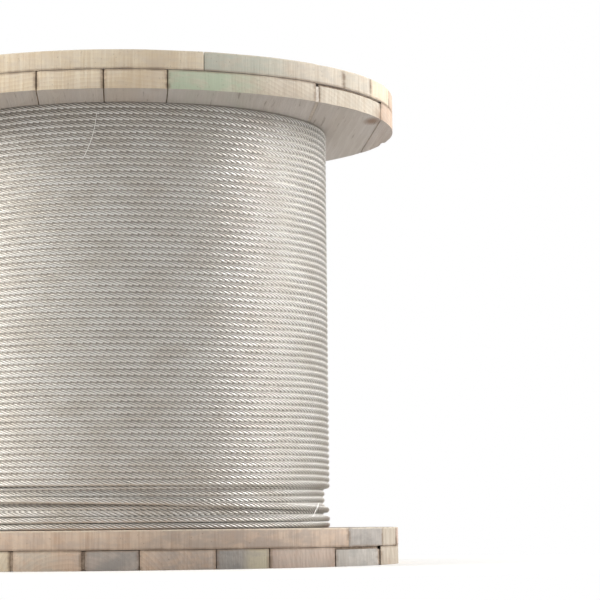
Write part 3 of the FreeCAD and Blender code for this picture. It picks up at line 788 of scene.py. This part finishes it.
def wear_back(bm, low, high, seed):
    """Moves the vertices of the edges inwards unevenly, towards the middle of the board's side."""
    level = (low[2] + high[2]) / 2
    for vert in bm.verts:
        place = vert.co.copy()
        depth = rough_edge(place, seed)
        radial = Vector((place.x, place.y, 0))
        if radial.length > FLANGE_RADIUS - WORN_RIM:
            vert.co -= radial.normalized() * depth
        near_face = abs(abs(place.z - level) - (high[2] - low[2]) / 2) < FACE_TOLERANCE
        if near_face and radial.length > FLANGE_RADIUS - WORN_FACE:
            # The face that stands on the floor wears less.
            share = 0.2 if place.z < 1 * MM else 1.0
            vert.co.z -= math.copysign(share * depth, place.z - level)


def dirt_and_shade_material(name, light, dark):
    """Sawdust, mud and splinters trodden into an open joint, with a tone that also stands in for the joint's
    shade (painted shade).
    """
    material, shader, surface = new_material(name)
    grit = shader.noise(shader.object_place(), 240.0, 4.0, 0.7)
    shader.feed(shader.mix(shader.ramp(grit, 0.35, 0.65), light, dark), surface.inputs["Base Color"])
    shader.feed(shader.ramp(grit, 0.3, 0.7, 0.85, 0.97), surface.inputs["Roughness"])
    shader.feed(shader.bump(grit, 0.7, 0.8 * MM), surface.inputs["Normal"])
    return material


def packed_dirt_and_shade(name, low, high, set_back, slot, material):
    """Dirt in an open joint of a flange, between two places in X and Z, set back from the rim. Its tone also
    stands in for the shade in the joint.
    """
    bm = bmesh.new()
    cylinder_into(bm, 0, 0, low[1], high[1], FLANGE_RADIUS - set_back, RIM_SEGMENTS)
    cut_away(bm, Vector((low[0], 0, 0)), Vector((-1, 0, 0)))
    cut_away(bm, Vector((high[0], 0, 0)), Vector((1, 0, 0)))
    straight = [edge for edge in bm.edges if edge.calc_length() > LONG_EDGE]
    bmesh.ops.subdivide_edges(bm, edges=straight, cuts=FILL_CUTS, use_grid_fill=True)
    for vert in bm.verts:
        unevenness = FILL_UNEVENNESS * noise.noise(vert.co * 160)
        vert.co.y -= math.copysign(abs(unevenness), vert.co.y)
    bmesh.ops.recalc_face_normals(bm, faces=bm.faces)
    mesh_piece(name, bm, material, (), slot, math.radians(40))


def fill_open_joints():
    """The four upright joints that stand open, and the slots over the two thinner boards."""
    # Both fills are dirt whose tone is also painted shade for the open joints and slots.
    brown = dirt_and_shade_material("packed_dirt_and_shade", colour(176, 158, 140), colour(136, 120, 106))
    pale = dirt_and_shade_material("packed_sawdust_and_shade", colour(222, 213, 202), colour(198, 188, 176))
    for before, after, set_back, lip, gap_above in OPEN_JOINTS:
        material = pale if before.startswith("upper") else brown
        low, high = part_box(before)
        next_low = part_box(after)[0]
        packed_dirt_and_shade(f"{before}_joint_dirt_and_shade", (high[0] + FILL_CLEARANCE, low[2] + lip),
                    (next_low[0] - FILL_CLEARANCE, high[2] - gap_above), set_back, before, material)
    for thin, neighbour in (("lower_outer_board_9", "lower_outer_board_10"),
                            ("upper_inner_board_7", "upper_inner_board_6")):
        low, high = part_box(thin)
        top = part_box(neighbour)[1][2]
        packed_dirt_and_shade(f"{thin}_slot_dirt_and_shade", (low[0], high[2] + FILL_CLEARANCE),
                    (high[0], top - FILL_CLEARANCE), SLOT_SET_BACK, thin, brown)


def sawn_sides(node, along_y):
    """The straight sides of a board along its grain. A side that is only the rim's outermost place is
    left out."""
    low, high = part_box(node)
    across, along = (0, 1) if along_y else (1, 0)
    nearest = max(low[along], -high[along], 0.0)
    rim = math.sqrt(FLANGE_RADIUS ** 2 - nearest ** 2)
    for side, limit in (("Side low", low[across]), ("Side high", high[across])):
        if abs(limit) < rim - RIM_TOLERANCE:
            yield side, limit


def add_boards(wood):
    """Every board of both flanges, with the holes, recesses and nail dents cut out of it."""
    cutters = {end: flange_cutters(end) for end in ("lower", "upper")}
    boards = sorted(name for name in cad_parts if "_board_" in name)
    for seed, node in enumerate(boards, start=1):
        bm = worn_board(node, float(seed))
        end = node.split("_")[0]
        along_y = node.startswith(("upper_inner", "lower_outer"))
        tones = dict(BOARD_TONES.get(node) or spare_tones(seed))
        tones["Ring share"] = 0.11 if along_y else 0.035
        for side, limit in sawn_sides(node, along_y):
            tones[side] = limit
        tones["Joint level"] = LOWER_JOINT if end == "lower" else UPPER_JOINT
        has_worn_top = node.startswith(("upper_outer", "lower_inner"))
        tones["Worn level"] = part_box(node)[1][2] if has_worn_top else NOWHERE
        material = board_material(f"{node}_wood", wood, along_y, seed, **tones)
        piece = mesh_piece(f"{node}_rough", bm, material, [node], node)
        cut = piece.modifiers.new("holes", "BOOLEAN")
        cut.operation = "DIFFERENCE"
        cut.solver = "EXACT"
        cut.object = cutters[end]
        finished = evaluated(piece)
        piece.modifiers.clear()
        piece.data = finished
        finished.shade_smooth()
        finished.set_sharp_from_angle(angle=math.radians(38))
    for cutter in cutters.values():
        bpy.data.objects.remove(cutter)


YELLOW_TAN = dict(Pale=colour(238, 225, 202), Brown=colour(211, 190, 161), Grey=colour(210, 199, 188))
ORANGE_TAN = dict(Pale=colour(221, 200, 180), Brown=colour(191, 163, 141), Grey=colour(182, 171, 164))
GREY_BROWN = dict(Pale=colour(208, 196, 186), Brown=colour(180, 165, 155), Grey=colour(175, 170, 165))
PALE_BEIGE = dict(Pale=colour(221, 211, 195), Brown=colour(190, 174, 155), Grey=colour(196, 190, 180))
COLD_GREY = dict(Pale=colour(198, 192, 186), Brown=colour(172, 164, 156), Grey=colour(162, 158, 154))
DULL_BEIGE = dict(Pale=colour(200, 190, 175), Brown=colour(172, 157, 139), Grey=colour(176, 170, 160))
DULL_GREY = dict(Pale=colour(184, 178, 172), Brown=colour(160, 152, 145), Grey=colour(152, 148, 144))
COLD_DARK = dict(Pale=colour(176, 170, 164), Brown=colour(152, 144, 138), Grey=colour(144, 142, 139))
REDDISH = dict(Pale=colour(202, 182, 168), Brown=colour(172, 148, 134), Grey=colour(174, 160, 152))
GREEN = colour(190, 202, 178)
GREY_GREEN = colour(193, 196, 183)


def with_stain(tones, stain, amount, middle, reach, weathering=0.35):
    return {**tones, "Stain": stain, "Stain amount": amount, "Stain middle": middle * MM,
            "Stain reach": reach * MM, "Weathering": weathering}


def weathered(tones, share):
    return {**tones, "Weathering": share}


BOARD_TONES = {
    "upper_outer_board_1_left": weathered(YELLOW_TAN, 0.35),
    "upper_outer_board_1_right": with_stain(PALE_BEIGE, GREY_GREEN, 0.85, 120, 110, 0.5),
    "upper_outer_board_2": with_stain(PALE_BEIGE, GREY_GREEN, 0.2, 260, 80, 0.5),
    "upper_inner_board_1": weathered(YELLOW_TAN, 0.3),
    "upper_inner_board_2": weathered(YELLOW_TAN, 0.3),
    "upper_inner_board_3": weathered(YELLOW_TAN, 0.4),
    "upper_inner_board_4": weathered(YELLOW_TAN, 0.3),
    "upper_inner_board_5": weathered(YELLOW_TAN, 0.3),
    "upper_inner_board_6": with_stain(PALE_BEIGE, GREEN, 0.95, 70, 130, 0.4),
    "upper_inner_board_7": with_stain(PALE_BEIGE, GREY_GREEN, 0.1, 300, 80, 0.3),
    "upper_inner_board_8": with_stain(ORANGE_TAN, GREY_GREEN, 0.1, 300, 80, 0.3),
    "lower_inner_board_1": with_stain(ORANGE_TAN, colour(160, 149, 141), 0.5, 140, 170, 0.4),
    "lower_inner_board_2": weathered(DULL_GREY, 0.6),
    "lower_inner_board_3": weathered(DULL_BEIGE, 0.2),
    "lower_inner_board_4": weathered(REDDISH, 0.4),
    "lower_outer_board_3": with_stain(YELLOW_TAN, GREY_GREEN, 0.2, -180, 60, 0.5),
    "lower_outer_board_4": with_stain(ORANGE_TAN, GREY_GREEN, 0.25, -120, 50, 0.5),
    "lower_outer_board_5": with_stain(GREY_BROWN, colour(148, 145, 142), 0.55, -10, 60, 0.6),
    "lower_outer_board_6": with_stain(ORANGE_TAN, colour(154, 148, 144), 0.55, 80, 50, 0.5),
    "lower_outer_board_7": with_stain(COLD_DARK, colour(206, 196, 170), 0.8, 163, 24, 0.7),
    "lower_outer_board_8": with_stain(REDDISH, GREY_GREEN, 0.15, 230, 60, 0.5),
    "lower_outer_board_9": with_stain(COLD_GREY, GREY_GREEN, 0.1, 300, 60, 0.7),
    "lower_outer_board_10": weathered(DULL_BEIGE, 0.2),
}


# How far the upright corners of some boards are rounded, in mm.
CORNER_WEAR = {"upper_outer_board_1_left": 0.8, "upper_outer_board_1_right": 0.8,
               "upper_inner_board_3": 2.6, "upper_inner_board_4": 4.2, "upper_inner_board_5": 3.2,
               "upper_inner_board_6": 2.2, "upper_inner_board_7": 3.0, "lower_outer_board_3": 3.0,
               "lower_outer_board_4": 3.4, "lower_outer_board_5": 2.4, "lower_outer_board_9": 2.4,
               "lower_outer_board_10": 2.6}


# Pairs of boards with an open joint between them, how far back from the rim its fill of dirt and painted
# shade starts, and how far it stays from the boards' lower and upper faces.
OPEN_JOINTS = [("lower_outer_board_3", "lower_outer_board_4", 2.4 * MM, 0.9 * MM, 0.9 * MM),
               ("lower_outer_board_4", "lower_outer_board_5", 3.2 * MM, 0.9 * MM, 0.9 * MM),
               ("lower_outer_board_9", "lower_outer_board_10", 2.4 * MM, 0.9 * MM, 0.9 * MM),
               ("upper_inner_board_6", "upper_inner_board_7", 1.0 * MM, 0.4 * MM, 4.5 * MM)]


def spare_tones(seed):
    """Tones for a board that is like the others."""
    kinds = (YELLOW_TAN, ORANGE_TAN, PALE_BEIGE, COLD_GREY, ORANGE_TAN, GREY_BROWN)
    return with_stain(kinds[seed % len(kinds)], GREY_GREEN, 0.25 * (seed % 3), 90.0 * (seed % 5) - 180.0, 90)


# ---------------------------------------------------------------- stage

def add_camera():
    """A long lens close to the floor, square to the reel's front but for a slight turn to the right."""
    lens = bpy.data.cameras.new("camera")
    lens.lens = CAMERA_LENS
    camera = bpy.data.objects.new("camera", lens)
    bpy.context.scene.collection.objects.link(camera)
    turn = Matrix.Rotation(CAMERA_TURN, 4, "Z")
    tilt = Matrix.Rotation(math.pi / 2 + CAMERA_TILT, 4, "X")
    roll = Matrix.Rotation(CAMERA_ROLL, 4, "Z")
    camera.matrix_world = Matrix.Translation(CAMERA_PLACE) @ turn @ tilt @ roll
    bpy.context.scene.camera = camera


def add_lamp(name, place, target, width, height, power, tint):
    lamp = bpy.data.lights.new(name, "AREA")
    lamp.color = tint
    lamp.shape = "RECTANGLE"
    lamp.size = width
    lamp.size_y = height
    lamp.energy = power
    holder = bpy.data.objects.new(name, lamp)
    bpy.context.scene.collection.objects.link(holder)
    way = Vector(target) - Vector(place)
    holder.matrix_world = Matrix.Translation(place) @ way.to_track_quat("-Z", "Y").to_matrix().to_4x4()


def seen_directly(shader):
    """1 where the stage is looked at, straight or in a reflection, and 0 where it only gives light."""
    path = shader.node("ShaderNodeLightPath").outputs
    looked_at = shader.math("MAXIMUM", path["Is Camera Ray"], path["Is Transmission Ray"])
    return shader.math("MAXIMUM", looked_at, path["Is Glossy Ray"])


def add_stage():
    """A pale floor that fades to white away from the reel, the light from all round and two lamps."""
    bm = bmesh.new()
    bmesh.ops.create_grid(bm, x_segments=1, y_segments=1, size=FLOOR_REACH)
    mesh = bpy.data.meshes.new("floor")
    bm.to_mesh(mesh)
    bm.free()
    floor = bpy.data.objects.new("floor", mesh)
    bpy.context.scene.collection.objects.link(floor)
    material, shader, surface = new_material("pale_floor")
    direct = seen_directly(shader)
    tone = shader.mix(direct, colour(172, 168, 164), colour(250, 250, 249))
    shader.feed(tone, surface.inputs["Base Color"])
    spot = shader.object_place()
    reach = shader.node("ShaderNodeVectorMath", {0: spot}, operation="LENGTH").outputs["Value"]
    fade = shader.math("MULTIPLY", direct, shader.ramp(reach, FADE_START, FADE_END))
    white = shader.node("ShaderNodeEmission", {"Color": (1, 1, 1, 1), "Strength": 1.0}).outputs[0]
    faded = shader.node("ShaderNodeMixShader", {0: fade, 1: surface.outputs[0], 2: white}).outputs[0]
    shader.feed(faded, material.node_tree.nodes["Material Output"].inputs["Surface"])
    surface.inputs["Roughness"].default_value = 0.9
    mesh.materials.append(material)
    add_world()
    add_lamp("left_softbox", (-2.6, -0.5, 1.7), (0, 0, 0.3), 1.5, 1.3, 52, (1.0, 0.95, 0.87))
    add_lamp("right_softbox", (2.6, 0.15, 1.1), (0, 0, 0.35), 1.3, 1.0, 53, (1.0, 0.99, 0.98))


def add_world():
    """Soft light from all round, about twice as strong from the sides as from above. It is white where it
    is looked at."""
    world = bpy.data.worlds.new("studio")
    bpy.context.scene.world = world
    world.use_nodes = True
    shader = Shader(world.node_tree)
    background = world.node_tree.nodes["Background"]
    background.inputs["Color"].default_value = (1.0, 0.995, 0.985, 1.0)
    upwards = shader.part(shader.node("ShaderNodeTexCoord").outputs["Generated"], 2)
    shader.feed(shader.ramp(upwards, 0.15, 0.9, 1.1, 0.5), background.inputs["Strength"])
    white = shader.node("ShaderNodeBackground", {"Color": (1, 1, 1, 1), "Strength": 1.0}).outputs[0]
    shown = shader.node("ShaderNodeMixShader", {0: seen_directly(shader), 1: background.outputs[0], 2: white})
    shader.feed(shown.outputs[0], world.node_tree.nodes["World Output"].inputs["Surface"])


# ---------------------------------------------------------------- the object

add_camera()
wood_group = rough_wood_group()
bright_wire = wire_material()
lay_mesh = one_lay()
for number, length in enumerate(outer_layer_routes(), start=1):
    laid_rope(f"rope_outer_turns_{number}", length, bright_wire)
laid_rope("rope_loose_turn", loose_route(), bright_wire)
laid_rope("rope_bottom_turns", bottom_route(), bright_wire)
for number, pitches in enumerate(INNER_ROWS, start=1):
    laid_rope(f"rope_layer_below_{number}", inner_row_route(pitches), bright_wire)
rope_core(oiled_core_material())
wire_ends = plain_steel_material("wire_ends", colour(250, 249, 246), colour(190, 180, 168), 0.0, 0.45)
stray_wire("stray_wire_high", math.radians(-8), COIL_TOP - 15 * MM, 62 * MM, 150 * MM, math.radians(5),
           wire_ends)
stray_wire("stray_wire_low", math.radians(66), COIL_BOTTOM + 33 * MM, 34 * MM, 90 * MM, math.radians(46),
           wire_ends)
add_boards(wood_group)
fill_open_joints()

stave_wood = board_material("stave_wood", wood_group, True, 3, **ORANGE_TAN)
zinc = plain_steel_material("zinc_plate", colour(176, 176, 174), colour(122, 84, 58), 0.1, 0.4)
nail_steel = plain_steel_material("nail_steel", colour(132, 126, 120), colour(104, 70, 50), 0.5, 0.5)
for name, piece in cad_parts.items():
    if name.startswith("drum_stave"):
        finish = stave_wood
    elif name.endswith("_nails") or name == "rope_staples":
        finish = nail_steel
    elif "_board_" in name or name == "wire_rope":
        continue
    else:
        finish = zinc
    for slot in piece.material_slots:
        slot.material = finish

add_stage()
bpy.context.scene.view_settings.view_transform = "Standard"

bpy.context.view_layer.update()
